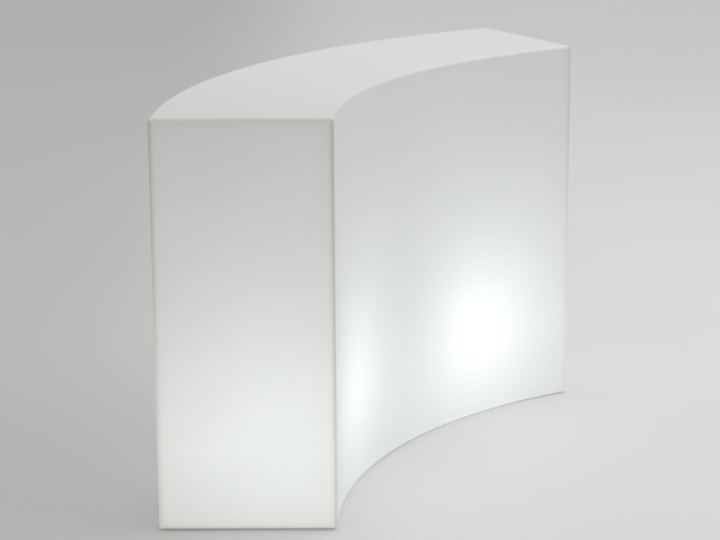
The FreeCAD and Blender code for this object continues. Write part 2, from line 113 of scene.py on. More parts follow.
def cut_flat(place, out):
    """Cuts the mesh off at a plane and closes it there, in edit mode."""
    bpy.ops.mesh.select_all(action="SELECT")
    bpy.ops.mesh.bisect(plane_co=place, plane_no=out, use_fill=True, clear_outer=True, threshold=1e-6)


def ring_block(name, inset, low, high):
    """A block over the counter's plan between two levels, drawn in from its outline all round."""
    deselect()
    end_x, end_y = -middle_radius * math.sin(half_sweep), middle_radius * math.cos(half_sweep) + ring_y
    bpy.ops.mesh.primitive_plane_add(
        size=1, rotation=(0, math.pi / 2, half_sweep), location=(end_x, end_y, (low + high) / 2)
    )
    bpy.context.object.scale = (high - low, counter_depth - 2 * inset, 1)
    bpy.ops.object.transform_apply(location=True, rotation=True, scale=True)
    bpy.ops.object.mode_set(mode="EDIT")
    bpy.ops.mesh.select_all(action="SELECT")
    bpy.ops.mesh.spin(steps=60, angle=2 * half_sweep, center=(0, ring_y, 0), axis=(0, 0, 1))
    clean_mesh()
    for side in (-1, 1) if inset else ():
        out = (side * math.cos(half_sweep), -math.sin(half_sweep), 0)
        cut_flat((-inset * out[0], ring_y - inset * out[1], 0), out)
        clean_mesh()
    return settle(name)


def bar(name, radius, length, centre, sides=48, rotation=(0, 0, 0)):
    """A straight bar with the given number of sides."""
    deselect()
    bpy.ops.mesh.primitive_cylinder_add(
        vertices=sides, radius=radius, depth=length, location=centre, rotation=rotation
    )
    return settle(name)


def post(name, radius, low, high, spot, sides=48, turn=0):
    """An upright bar between two levels."""
    return bar(name, radius, high - low, (*spot, (low + high) / 2), sides, (0, 0, turn))


def block(name, size, centre):
    """A plain block with square edges."""
    deselect()
    bpy.ops.mesh.primitive_cube_add(size=1, location=centre)
    bpy.context.object.scale = size
    return settle(name)


def pick_edges(rule):
    """Selects the active mesh's edges by the places of their two ends, and stays in edit mode."""
    bpy.ops.object.mode_set(mode="EDIT")
    bpy.ops.mesh.select_mode(type="EDGE")
    bpy.ops.mesh.select_all(action="DESELECT")
    bpy.ops.object.mode_set(mode="OBJECT")
    mesh = bpy.context.object.data
    for edge in mesh.edges:
        edge.select = rule(*(mesh.vertices[index].co for index in edge.vertices))
    bpy.ops.object.mode_set(mode="EDIT")


def rounded_block(name, size, low, high, spot, corner):
    """An upright block with its four standing edges rounded."""
    block(name, (*size, high - low), (*spot, (low + high) / 2))
    pick_edges(lambda start, end: abs(start.z - end.z) > 1e-6)
    bpy.ops.mesh.bevel(offset=corner, segments=8, affect="EDGES")
    return settle(name)


def finish_with(piece, kind, **settings):
    """Adds one modifier to a piece and applies it."""
    make_active(piece)
    modifier = piece.modifiers.new(kind.lower(), kind)
    for key, value in settings.items():
        setattr(modifier, key, value)
    bpy.ops.object.modifier_apply(modifier=modifier.name)
    return piece


def ease_edges(piece, width, angle=40, segments=2, **settings):
    """Rounds every edge that turns by more than the given angle."""
    limit = math.radians(angle)
    return finish_with(
        piece, "BEVEL", width=width, segments=segments, limit_method="ANGLE", angle_limit=limit, **settings
    )


def carve(piece, *cutters, operation="DIFFERENCE"):
    """Cuts pieces out of another, or joins them on, as one closed solid."""
    for cutter in cutters:
        finish_with(piece, "BOOLEAN", operation=operation, solver="EXACT", object=cutter)
        bpy.data.objects.remove(cutter)
        bpy.ops.object.mode_set(mode="EDIT")
        bpy.ops.mesh.select_all(action="SELECT")
        bpy.ops.mesh.remove_doubles(threshold=2e-6)
        bpy.ops.object.mode_set(mode="OBJECT")
    return piece


def smooth(piece, angle=35):
    """Smooth shading inside each face and rounding, with flat faces kept flat."""
    make_active(piece)
    bpy.ops.object.shade_smooth_by_angle(angle=math.radians(angle))
    return finish_with(piece, "WEIGHTED_NORMAL", keep_sharp=True, weight=100)


def notch_way(name, radius):
    """The arched way through the back of the rim for the mains lead."""
    y = outside_radius + ring_y + edge_radius - notch_length / 2
    z = rim_level + notch_height - notch_radius
    return bar(name, radius, notch_length, (notch_x, y, z), rotation=(math.pi / 2, 0, 0))


moulding = ring_block("moulded_body", 0, rim_level, top_level)
ease_edges(moulding, edge_radius, segments=6, use_clamp_overlap=False)
hollow = ring_block("hollow", wall, rim_level + wall, top_level - wall)
carve(hollow, ring_block("recess_skin", rim_width - wall, below_floor, base_level + wall))
carve(hollow, notch_way("notch_skin", notch_radius + wall))
for spot in foot_spots.values():
    carve(hollow, post("foot_boss", insert_corner + wall, cut_start, foot_boss_top, spot))
for x, y in lamp_spots.values():
    for across, along in screw_steps:
        spot = (x + across, y + along)
        carve(hollow, post("hatch_boss", screw_radius + wall, cut_start, screw_hole_end + wall, spot))
recess = ring_block("recess", rim_width, below_floor, base_level)
carve(moulding, recess, notch_way("notch", notch_radius), hollow)
for spot in foot_spots.values():
    carve(moulding, post("insert_pocket", insert_corner, cut_start, insert_top, spot, 6, math.pi / 6))
for x, y in lamp_spots.values():
    carve(moulding, rounded_block("opening", opening_size, opening_low, opening_high, (x, y), opening_corner))
    for across, along in screw_steps:
        spot = (x + across, y + along)
        carve(moulding, post("screw_hole", screw_hole_radius, cut_start, screw_hole_end, spot, 24))
smooth(moulding)


def add_node(tree, kind, *inputs, output=0, **settings):
    """Adds a node and fills its sockets in order, with values or with other nodes' outputs."""
    made = tree.nodes.new("ShaderNode" + kind)
    for key, value in settings.items():
        setattr(made, key, value)
    for socket, value in zip(made.inputs, inputs):
        if isinstance(value, bpy.types.NodeSocket):
            tree.links.new(value, socket)
        elif value is not None:
            socket.default_value = value
    return made.outputs[output]


def object_place(tree):
    """The point's place in the object's own coordinates."""
    return add_node(tree, "TexCoord", output=3)


def object_facing(tree):
    """The way the surface faces, in the object's own coordinates."""
    return add_node(tree, "TexCoord", output=1)


def split(tree, vector):
    return add_node(tree, "SeparateXYZ", vector).node.outputs


def calc(tree, operation, *inputs):
    return add_node(tree, "Math", *inputs, operation=operation)


def vector_calc(tree, operation, *inputs):
    output = 1 if operation in ("DOT_PRODUCT", "LENGTH") else 0
    return add_node(tree, "VectorMath", *inputs, operation=operation, output=output)


def scale_by(tree, colour, factor):
    return vector_calc(tree, "SCALE", colour, None, None, factor)


def mix_colours(tree, factor, first, second, blend_type="MIX"):
    unused = [None] * 4
    return add_node(
        tree, "Mix", factor, None, *unused, first, second, data_type="RGBA", blend_type=blend_type, output=2
    )


def span(tree, value, low, high, new_low, new_high, interpolation_type="LINEAR"):
    """Carries a value from one span over to another, and no further than its ends."""
    return add_node(
        tree, "MapRange", value, low, high, new_low, new_high, interpolation_type=interpolation_type
    )


def new_finish(name, roughness, metallic=0.0):
    """A new material, with its shader."""
    material = bpy.data.materials.new(name)
    material.use_nodes = True
    shader = material.node_tree.nodes["Principled BSDF"]
    shader.inputs["Roughness"].default_value = roughness
    shader.inputs["Metallic"].default_value = metallic
    return material, material.node_tree, shader


def feed(tree, shader, **sockets):
    """Links outputs to the shader's sockets, whose names are written with _ for a space."""
    for name, output in sockets.items():
        tree.links.new(output, shader.inputs[name.replace("_", " ")])


def raise_grain(tree, shader, height, depth):
    """Fine relief on the surface, of the given depth in metres."""
    feed(tree, shader, Normal=add_node(tree, "Bump", 1.0, depth, None, height))


def new_group(name, sizes, masks):
    """A node group that takes sizes in metres and gives masks."""
    group = bpy.data.node_groups.new(name, "ShaderNodeTree")
    for size, value in sizes.items():
        group.interface.new_socket(size, in_out="INPUT", socket_type="NodeSocketFloat").default_value = value
    for mask in masks:
        group.interface.new_socket(mask, in_out="OUTPUT", socket_type="NodeSocketFloat")
    return group, group.nodes.new("NodeGroupInput").outputs, group.nodes.new("NodeGroupOutput").inputs


def use_group(tree, group, *sizes):
    """Places a node group in a material, with its sizes, and gives its masks."""
    made = tree.nodes.new("ShaderNodeGroup")
    made.node_tree = group
    for socket, size in zip(made.inputs, sizes):
        socket.default_value = size
    return made.outputs


def grain_group():
    """Fine grain and soft clouding of a moulded surface, each by the size of its marks."""
    default_sizes = {"Grain size": 0.001, "Cloud size": 0.2}
    group, sizes, masks = new_group("Moulded grain", default_sizes, ("Grain", "Cloud"))
    place = object_place(group)
    for size, mask, detail in zip(sizes, masks, (3.0, 2.0)):
        scale = calc(group, "DIVIDE", 1.0, size)
        group.links.new(add_node(group, "TexNoise", place, None, scale, detail, 0.55), mask)
    return group


moulded_grain = grain_group()
body_grain_size, body_cloud_size = 0.0016, 0.35
# Painted light on the body: the glow's lamp spots, and its even haze fading upwards
glow_level, glow_softness, glow_strength = 0.28, 0.053, 0.0552
haze_strength, haze_reach, haze_loss = 0.397, 2.0, 0.15
# Painted shade along the edges of the two ends: thin dark lines and a wider duller band
shade_line_reach, shade_line_strength, level_shade_line_share, edge_shade_reach = 0.004, 3.6, 0.45, 0.018
# The glow colours are painted light; the skin colours are the plastic's own; the edge and line colours are
# painted shade
painted_glow_colour, painted_glow_edge_colour = (0.97, 1.0, 0.985, 1), (0.95, 0.97, 0.87, 1)
skin_colour, cloudy_colour = (0.61, 0.635, 0.625, 1), (0.64, 0.66, 0.65, 1)
edge_shade_colour, shade_line_colour = (0.60, 0.605, 0.535, 1), (0.44, 0.46, 0.42, 1)


def body_colour_and_painted_glow():
    """Translucent white polyethylene with a painted glow in its emission, standing in for the lamps inside:
    brightest in front of each lamp, fading upwards, and with painted shade along the edges of the two ends."""
    material, tree, shader = new_finish("translucent_polyethylene_painted_glow", 0.45)
    place, facing = object_place(tree), object_facing(tree)
    x, y, z = split(tree, place)
    reach = calc(tree, "SUBTRACT", y, ring_y)
    across, along = calc(tree, "MULTIPLY", x, x), calc(tree, "MULTIPLY", reach, reach)
    ring = calc(tree, "SQRT", calc(tree, "ADD", across, along))
    half_reach = calc(tree, "MULTIPLY", reach, math.sin(half_sweep))
    sideways = calc(tree, "MULTIPLY", x, math.cos(half_sweep))
    end_depths = [calc(tree, sign, half_reach, sideways) for sign in ("ADD", "SUBTRACT")]
    side_depths = [calc(tree, "SUBTRACT", ring, inside_radius), calc(tree, "SUBTRACT", outside_radius, ring)]
    level_depths = [calc(tree, "SUBTRACT", top_level, z), calc(tree, "SUBTRACT", z, rim_level)]

    def nearness(depths, fade):
        """How near a point is to any of several faces, fading over the given distance."""
        total = 0.0
        for depth in depths:
            total = calc(tree, "ADD", calc(tree, "EXPONENT", calc(tree, "DIVIDE", depth, -fade)), total)
        return total

    def corner(depths, fade, strength):
        """A mask of painted shade along the edges between the two ends and other faces."""
        mask = calc(tree, "MULTIPLY", nearness(end_depths, fade), nearness(depths, fade))
        mask = calc(tree, "MULTIPLY", mask, strength)
        mask.node.use_clamp = True
        return mask

    # Painted shade: thin dark lines along the end edges, fainter low down, and a wider duller band
    upright = corner(side_depths, shade_line_reach, shade_line_strength)
    upright = calc(tree, "MULTIPLY", upright, span(tree, z, 0.2, 1.0, 0.6, 1.0))
    level = calc(tree, "MULTIPLY", corner(level_depths, shade_line_reach, shade_line_strength), level_shade_line_share)
    line = calc(tree, "MAXIMUM", upright, level)
    edge = corner(side_depths + level_depths, edge_shade_reach, 1.0)

    # Painted glow: an even haze fading upwards, and a pool of light in front of each lamp
    glow = calc(tree, "EXPONENT", calc(tree, "DIVIDE", z, -haze_reach))
    glow = calc(tree, "SUBTRACT", calc(tree, "MULTIPLY", glow, haze_strength), haze_loss)
    for spot in lamp_spots.values():
        away = vector_calc(tree, "SUBTRACT", place, (*spot, glow_level))
        towards = calc(tree, "MAXIMUM", vector_calc(tree, "DOT_PRODUCT", away, facing), 0.0)
        spread = calc(tree, "ADD", vector_calc(tree, "DOT_PRODUCT", away, away), glow_softness)
        light = calc(tree, "DIVIDE", towards, calc(tree, "POWER", spread, 1.5))
        glow = calc(tree, "ADD", glow, calc(tree, "MULTIPLY", light, glow_strength))

    # Painted glow: more light towards the right lamp and on the left end, softly clouded; painted shade at
    # the foot, on the top, on the right end and along the end edges
    grain, cloud = use_group(tree, moulded_grain, body_grain_size, body_cloud_size)
    endward, _, upward = split(tree, facing)
    for share in (
        span(tree, x, -1.0, 1.0, 0.70, 1.22),
        span(tree, z, 0.0, 0.22, 0.80, 1.0),
        span(tree, endward, -0.80, -0.55, 1.34, 1.0),
        span(tree, endward, 0.55, 0.80, 1.0, 0.9),
        span(tree, upward, 0.0, 1.0, 1.0, 0.55),
        span(tree, cloud, 0.3, 0.7, 0.97, 1.03),
        span(tree, line, 0.0, 1.0, 1.0, 0.60),
    ):
        glow = calc(tree, "MULTIPLY", glow, share)
    # The painted glow goes into the emission; the painted shade darkens it and the base colour along the end
    # edges
    lit = mix_colours(tree, edge, painted_glow_colour, painted_glow_edge_colour)
    feed(tree, shader, Emission_Color=scale_by(tree, lit, glow))
    shader.inputs["Emission Strength"].default_value = 1.0
    skin = mix_colours(tree, edge, mix_colours(tree, cloud, skin_colour, cloudy_colour), edge_shade_colour)
    feed(tree, shader, Base_Color=mix_colours(tree, line, skin, shade_line_colour))
    feed(tree, shader, Roughness=span(tree, grain, 0.3, 0.7, 0.40, 0.50))
    raise_grain(tree, shader, grain, 0.00006)
    return material


def stands_for(piece, node, material, body="counter"):
    """Gives a piece its finish, its body and the node whose place it takes."""
    piece.data.materials.clear()
    piece.data.materials.append(material)
    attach(piece, body)
    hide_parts(node)


stands_for(moulding, "counter_shell", body_colour_and_painted_glow())


# Foot inserts
# Five hexagonal brass inserts, moulded into the base so that they can't turn, each with a blind bore.
# The mouth of each bore is countersunk, as turned inserts are.

stud_radius = 0.005
bore_radius = stud_radius + thread_clearance


def draw_line(points):
    """Draws a line through (radius, level) points, by pulling a single corner from place to place."""
    deselect()
    bpy.ops.mesh.primitive_plane_add(size=0.001)
    bpy.ops.object.mode_set(mode="EDIT")
    bpy.ops.mesh.select_mode(type="VERT")
    bpy.ops.mesh.select_all(action="SELECT")
    bpy.ops.mesh.merge(type="CENTER")
    bpy.ops.transform.translate(value=(points[0][0], 0, points[0][1]))
    for (radius, level), (next_radius, next_level) in zip(points, points[1:]):
        pull = (next_radius - radius, 0, next_level - level)
        bpy.ops.mesh.extrude_region_move(TRANSFORM_OT_translate={"value": pull})


def turned(name, points, steps=48):
    """A turned shape about the upright axis, from a line that starts and ends on the axis."""
    draw_line(points)
    bpy.ops.mesh.select_all(action="SELECT")
    bpy.ops.mesh.spin(steps=steps, angle=2 * math.pi, center=(0, 0, 0), axis=(0, 0, 1))
    clean_mesh()
    return settle(name)


def hexagon(name, width, low, high):
    return post(name, width / math.sqrt(3), low, high, (0, 0), 6, math.pi / 6)


def copy_to(piece, name, spot):
    """A copy of a piece with its own mesh, moved to a spot on the plan."""
    make_active(piece)
    bpy.ops.object.duplicate(linked=False)
    bpy.context.object.location = (*spot, 0)
    return settle(name)


def join(name, pieces):
    """Several like pieces as one object."""
    make_active(pieces[0])
    for piece in pieces:
        piece.select_set(True)
    bpy.ops.object.join()
    return settle(name)


def discard(*pieces):
    for piece in pieces:
        bpy.data.objects.remove(piece)


def lathe_group():
    """Fine rings left by turning, and the dull patches of handled metal."""
    default_sizes = {"Ring size": 0.0004, "Patch size": 0.01}
    group, sizes, masks = new_group("Turned metal", default_sizes, ("Rings", "Patches"))
    place = object_place(group)
    level = calc(group, "DIVIDE", split(group, place)[2], sizes[0])
    patch_scale = calc(group, "DIVIDE", 1.0, sizes[1])
    rings = add_node(group, "TexNoise", None, level, 1.0, 2.0, 0.6, noise_dimensions="1D")
    patches = add_node(group, "TexNoise", place, None, patch_scale, 4.0, 0.6)
    group.links.new(rings, masks[0])
    group.links.new(patches, masks[1])
    return group


turned_metal = lathe_group()


def metal_finish(name, bright, dull, roughness, ring_size, patch_size):
    """Turned metal: bright where it is handled, duller in patches, with fine rings."""
    material, tree, shader = new_finish(name, roughness, 1.0)
    rings, patches = use_group(tree, turned_metal, ring_size, patch_size)
    dullness = span(tree, patches, 0.35, 0.7, 0, 1)
    feed(tree, shader, Base_Color=mix_colours(tree, dullness, (*bright, 1), (*dull, 1)))
    feed(tree, shader, Roughness=span(tree, patches, 0.3, 0.7, roughness - 0.08, roughness + 0.12))
    raise_grain(tree, shader, rings, 0.00002)
    return material


insert = hexagon("insert", insert_width, base_level, insert_top)
carve(insert, turned("insert_bore", [
    (0, 0.063), (0.0066, 0.063), (0.0066, 0.064), (bore_radius, 0.0656), (bore_radius, 0.0897), (0, 0.090),
]))
smooth(ease_edges(insert, 0.0003))
inserts = [copy_to(insert, "insert_" + foot, spot) for foot, spot in foot_spots.items()]
discard(insert)
brass = metal_finish("machined_brass", (0.74, 0.56, 0.28), (0.60, 0.43, 0.19), 0.32, 0.0003, 0.006)
stands_for(join("brass_inserts", inserts), "foot_inserts", brass)


# Levelling feet
# Zinc-plated stud with a rolled thread, hexagon and collar, a nylon pad that the collar turns in, and a
# rubber sole. The stud screws up into its insert; the pad doesn't turn, so the foot only rises or drops.

thread_pitch, stud_hexagon_width = 0.0015, 0.017
sole_top, pad_radius = 0.0030, 0.0220
collar_base, collar_radius, hexagon_base, hexagon_top = 0.0060, 0.0070, 0.0115, 0.0175
thread_base, stud_end, thread_start_turns = 0.0172, 0.0900, 1.4217


def threaded_bar(name, radius, pitch, low, high, steps=20, depth=0.6):
    """A screw thread between two levels, cut off flat at both ends. Its first turns lie below the lower
    level by a share of a turn at which neither cut meets a corner of the mesh."""
    root = radius - depth * pitch
    draw_line([
        (root, 0), (root, 0.2 * pitch), (radius, 0.45 * pitch), (radius, 0.6 * pitch), (root, 0.85 * pitch),
        (root, pitch),
    ])
    bpy.ops.object.mode_set(mode="OBJECT")
    thread = bpy.context.object
    turns = math.ceil((high - low) / pitch) + 3
    finish_with(
        thread, "SCREW", angle=2 * math.pi, screw_offset=pitch, iterations=turns, steps=steps,
        render_steps=steps, use_merge_vertices=True, merge_threshold=1e-6,
    )
    thread.location.z = low - thread_start_turns * pitch
    bpy.ops.object.transform_apply(location=True)
    bpy.ops.object.mode_set(mode="EDIT")
    cut_flat((0, 0, low), (0, 0, -1))
    cut_flat((0, 0, high), (0, 0, 1))
    clean_mesh()
    return settle(name)


def bolt_head(name, width, low, high, chamfer_low=True, chamfer_high=False):
    """A hexagon with its corners turned off at one end or both."""
    corner, flat = width / math.sqrt(3), width / 2
    clear, drop = corner * 1.05, (corner - flat) * 0.78
    line = [(0, low), (flat if chamfer_low else clear, low)]
    line += [(clear, low + drop)] if chamfer_low else []
    line += [(clear, high - drop)] if chamfer_high else []
    line += [(flat if chamfer_high else clear, high), (0, high)]
    return carve(hexagon(name, width, low, high), turned("turning", line, 60), operation="INTERSECT")


stud = threaded_bar("stud", stud_radius, thread_pitch, thread_base, stud_end)
stud_hexagon = bolt_head("stud_hexagon", stud_hexagon_width, hexagon_base, hexagon_top, True, True)
carve(stud, stud_hexagon, operation="UNION")
carve(stud, turned("stud_collar", [
    (0, collar_base), (0.0064, collar_base), (collar_radius, 0.0066), (collar_radius, 0.0118), (0, 0.0118),
]), operation="UNION")
smooth(stud, 40)
pad = smooth(turned("pad", [
    (0, sole_top), (0.0212, sole_top), (pad_radius, 0.0038), (pad_radius, 0.0066), (0.0214, 0.0076),
    (0.0140, 0.0098), (0.0112, 0.0110), (0.0078, 0.0110), (0.0071, 0.0104), (0.0071, collar_base),
    (0, collar_base),
], 64), 30)
sole = smooth(turned("sole", [
    (0, 0.0006), (0.004, 0.0006), (0.0048, 0), (0.0090, 0), (0.0096, 0.0010), (0.0112, 0.0010), (0.0118, 0),
    (0.0160, 0), (0.0166, 0.0010), (0.0180, 0.0010), (0.0186, 0), (0.0194, 0), (0.0200, 0.0008),
    (0.0200, sole_top), (0, sole_top),
], 64), 30)


def moulded_finish(name, light, dark, roughness, grain_size, cloud_size, relief):
    """Moulded plastic, rubber or glaze: softly clouded, with a fine grain. Gives its shader too."""
    material, tree, shader = new_finish(name, roughness)
    grain, cloud = use_group(tree, moulded_grain, grain_size, cloud_size)
    darkness = span(tree, cloud, 0.3, 0.7, 0, 1)
    feed(tree, shader, Base_Color=mix_colours(tree, darkness, (*light, 1), (*dark, 1)))
    feed(tree, shader, Roughness=span(tree, grain, 0.3, 0.7, roughness - 0.06, roughness + 0.06))
    raise_grain(tree, shader, grain, relief)
    return material, shader


zinc = metal_finish("zinc_plated_steel", (0.64, 0.65, 0.67), (0.50, 0.51, 0.52), 0.34, 0.0005, 0.004)
nylon, _ = moulded_finish(
    "black_nylon", (0.045, 0.046, 0.050), (0.030, 0.031, 0.034), 0.48, 0.0007, 0.02, 0.00004
)
rubber, _ = moulded_finish(
    "grey_rubber", (0.060, 0.060, 0.060), (0.042, 0.042, 0.043), 0.82, 0.0005, 0.012, 0.00006
)
for foot, spot in foot_spots.items():
    for piece, name, node, slot, material, body in (
        (stud, "threaded_stud_", "foot_stud_", "stud", zinc, "stud_"),
        (pad, "nylon_pad_", "foot_pad_", "pad", nylon, "foot_"),
        (sole, "rubber_sole_", "foot_sole_", "sole", rubber, "foot_"),
    ):
        stands_for(copy_to(piece, name + foot, spot), node + foot, material, body + foot)
discard(stud, pad, sole)


# Lamp hatches
# Moulded cover plates with two stiffening ribs, closed on a rubber gasket by four stainless hexagon screws
# each. The left plate also carries the cable gland.

plate_under, plate_top = 0.056, 0.061
plate_size = (opening_length + 2 * hatch_margin, opening_width + 2 * hatch_margin)
rib_foot, rib_spread, rib_size, rib_taper = 0.048, 0.045, (0.004, 0.090, 0.0084), (0.65, 0.92, 1)
under_plate, over_plate, way_clearance = 0.050, 0.065, 0.0003
screw_hexagon_width, screw_head, screw_pitch, thread_sink = 0.008, 0.0035, 0.0008, 0.0002
gland_step, gland_bore_radius = 0.038, 0.0081


def rib(name, x):
    """A stiffening rib that narrows towards its foot, as it leaves the mould."""
    block(name, rib_size, (x, 0, rib_foot + rib_size[2] / 2))
    pick_edges(lambda start, end: max(start.z, end.z) < rib_foot + 0.001)
    bpy.ops.transform.resize(value=rib_taper, center_override=(x, 0, rib_foot))
    return settle(name)


def repaint(node, material):
    """Gives a piece that keeps its shape a finish of its own."""
    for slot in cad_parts[node].material_slots:
        slot.material = material


plate = rounded_block("plate", plate_size, plate_under, plate_top, (0, 0), 0.015)
carve(plate, rib("rib", -rib_spread), rib("rib", rib_spread), operation="UNION")
for spot in screw_steps:
    carve(plate, post("screw_way", screw_radius + way_clearance, under_plate, over_plate, spot, 32))
carve(plate, post("bolt_way", stud_radius + way_clearance, under_plate, over_plate, (0, 0), 32))
screw = bolt_head("screw", screw_hexagon_width, plate_under - screw_head, plate_under)
screw_thread = threaded_bar(
    "screw_thread", screw_radius, screw_pitch, plate_under - thread_sink, screw_end, 16
)
smooth(carve(screw, screw_thread, operation="UNION"), 40)
hatch_plastic, _ = moulded_finish(
    "pale_moulded_plastic", (0.66, 0.67, 0.66), (0.61, 0.62, 0.61), 0.46, 0.0009, 0.05, 0.00005
)
gasket_rubber, _ = moulded_finish(
    "black_rubber", (0.030, 0.030, 0.031), (0.022, 0.022, 0.023), 0.80, 0.0006, 0.02, 0.00006
)
stainless = metal_finish("stainless_steel", (0.63, 0.62, 0.60), (0.52, 0.51, 0.50), 0.30, 0.0003, 0.003)
for side, (x, y) in lamp_spots.items():
    cover = copy_to(plate, "cover_plate_" + side, (x, y))
    if side == "left":
        carve(cover, post("gland_way", gland_bore_radius, under_plate, over_plate, (x, y - gland_step)))
    stands_for(smooth(ease_edges(cover, 0.0006)), "lamp_hatch_" + side, hatch_plastic)
    spots = [(x + across, y + along) for across, along in screw_steps]
    screws = [copy_to(screw, f"screw_{index}", spot) for index, spot in enumerate(spots)]
    stands_for(join("cover_screws_" + side, screws), "hatch_screws_" + side, stainless)
    repaint("hatch_gasket_" + side, gasket_rubber)
discard(plate, screw)


# Lampholders
# Glazed ceramic screw holders on a square base, each held to its hatch by a steel hexagon bolt from below.
# The barrel has two shallow rings and a rounded lip, and its bore takes the lamp's cap.

holder_width, holder_base_top, bolt_end, bolt_head_height = 0.046, 0.075, 0.073, 0.006
barrel_radius, ring_radius = 0.0200, 0.0194

holder = rounded_block("holder", (holder_width, holder_width), plate_top, holder_base_top, (0, 0), 0.004)
ease_edges(holder, 0.0012, segments=3)
carve(holder, turned("barrel", [
    (0, 0.074), (barrel_radius, 0.074), (barrel_radius, 0.0845), (ring_radius, 0.0852), (ring_radius, 0.0868),
    (barrel_radius, 0.0875), (barrel_radius, 0.1005), (ring_radius, 0.1012), (ring_radius, 0.1028),
    (barrel_radius, 0.1035), (barrel_radius, 0.1140), (0.0194, 0.1154), (0.0180, 0.1160), (0, 0.1160),
], 64), operation="UNION")
carve(holder, turned("holder_bore", [
    (0, 0.0860), (0.0130, 0.0860), (0.0136, 0.0866), (0.0136, 0.1146), (0.0150, 0.1162), (0, 0.1162),
], 64))
carve(holder, post("holder_thread", bore_radius, plate_top - cut_over, bolt_end, (0, 0), 32))
smooth(holder, 30)
bolt = bolt_head("bolt", stud_hexagon_width, plate_under - bolt_head_height, plate_under)
bolt_thread = threaded_bar("bolt_thread", stud_radius, thread_pitch, plate_under - thread_sink, bolt_end)
smooth(carve(bolt, bolt_thread, operation="UNION"), 40)
ceramic, glaze = moulded_finish(
    "glazed_ceramic", (0.76, 0.75, 0.71), (0.72, 0.70, 0.65), 0.22, 0.0011, 0.015, 0.00003
)
glaze.inputs["Coat Weight"].default_value = 0.6
glaze.inputs["Coat Roughness"].default_value = 0.08
for side, spot in lamp_spots.items():
    stands_for(copy_to(holder, "ceramic_holder_" + side, spot), "lampholder_" + side, ceramic)
    stands_for(copy_to(bolt, "holder_bolt_" + side, spot), "lampholder_bolt_" + side, stainless)
discard(holder, bolt)


# Lamps
# Stick lamps: a rolled aluminium screw cap, a stepped plastic housing and a tall opal diffuser with a rounded
# end. They screw into the holders and stand upright in the hollow of the body.

cap_radius, cap_pitch, cap_thread_base, cap_thread_top, cap_top = 0.0132, 0.0036, 0.0915, 0.1148, 0.1170
housing_top, lit_level, tube_shoulder, tube_top = 0.1620, 0.1850, 0.3230, 0.3300
housing_radius, tube_radius, tube_rounding = 0.0300, 0.0280, 0.0065

cap = threaded_bar("cap", cap_radius, cap_pitch, cap_thread_base, cap_thread_top, 40, 0.28)
carve(cap, turned("cap_ends", [
    (0, 0.0860), (0.0040, 0.0860), (0.0048, 0.0868), (0.0060, 0.0880), (0.0118, 0.0912), (0.0122, 0.0925),
    (0.0122, cap_top), (0, cap_top),
], 40), operation="UNION")
smooth(cap, 30)
housing = smooth(turned("housing", [
    (0, cap_top), (0.0178, cap_top), (0.0190, 0.1182), (0.0190, 0.1260), (0.0202, 0.1282), (0.0286, 0.1290),
    (housing_radius, 0.1304), (housing_radius, 0.1520), (0.0296, 0.1524), (0.0296, 0.1532),
    (housing_radius, 0.1536), (housing_radius, 0.1612), (0.0292, housing_top), (0, housing_top),
], 64), 30)
diffuser_line = [(0, housing_top), (tube_radius, housing_top), (tube_radius, tube_shoulder)]
for step in range(1, 7):
    turn = step * math.pi / 12
    out, up = tube_rounding * math.cos(turn), tube_rounding * math.sin(turn)
    diffuser_line.append((tube_radius - tube_rounding + out, tube_shoulder + up))
diffuser = smooth(turned("diffuser", diffuser_line + [(0.0120, 0.3299), (0, tube_top)], 64), 30)
aluminium = metal_finish("rolled_aluminium", (0.77, 0.77, 0.78), (0.66, 0.66, 0.67), 0.30, 0.0004, 0.005)
housing_plastic, _ = moulded_finish(
    "white_plastic", (0.72, 0.73, 0.74), (0.68, 0.69, 0.70), 0.35, 0.0008, 0.03, 0.00003
)
opal, opal_shader = moulded_finish(
    "opal_diffuser", (0.78, 0.79, 0.80), (0.75, 0.76, 0.77), 0.40, 0.0008, 0.04, 0.00003
)
tree = opal.node_tree
level = split(tree, object_place(tree))[2]
lit = span(tree, level, housing_top, lit_level, 0.45, 1.0, "SMOOTHSTEP")
feed(tree, opal_shader, Emission_Color=mix_colours(tree, lit, (0, 0, 0, 1), (0.97, 1.0, 0.99, 1)))
opal_shader.inputs["Emission Strength"].default_value = 3.0
for side, spot in lamp_spots.items():
    for piece, name, node, slot, material in (
        (cap, "screw_cap_", "bulb_cap_", "cap", aluminium),
        (housing, "lamp_housing_", "bulb_housing_", "housing", housing_plastic),
        (diffuser, "opal_tube_", "bulb_diffuser_", "diffuser", opal),
    ):
        stands_for(copy_to(piece, name + side, spot), node + side, material)
discard(cap, housing, diffuser)


# Wiring
# A barrier terminal block on each hatch, a short lead to the holder, and the cable that links the two lamps.
# The cable lies on the base under two moulded clips.

strip_length, strip_width, strip_top = 0.030, 0.018, 0.079
strip_step, way_count, way_size, way_level, barrier = 0.040, 3, (0.019, 0.009), 0.0765, 0.002
strip_y = lamp_y + strip_step
way_pitch = (strip_length - barrier) / way_count
clip_x, clip_size, clip_top, clip_cut = 0.180, (0.012, 0.022), 0.080, 0.020
cable_level, clip_bore_radius, gate_height, gate_level = 0.0735, 0.0036, 0.004, 0.0715

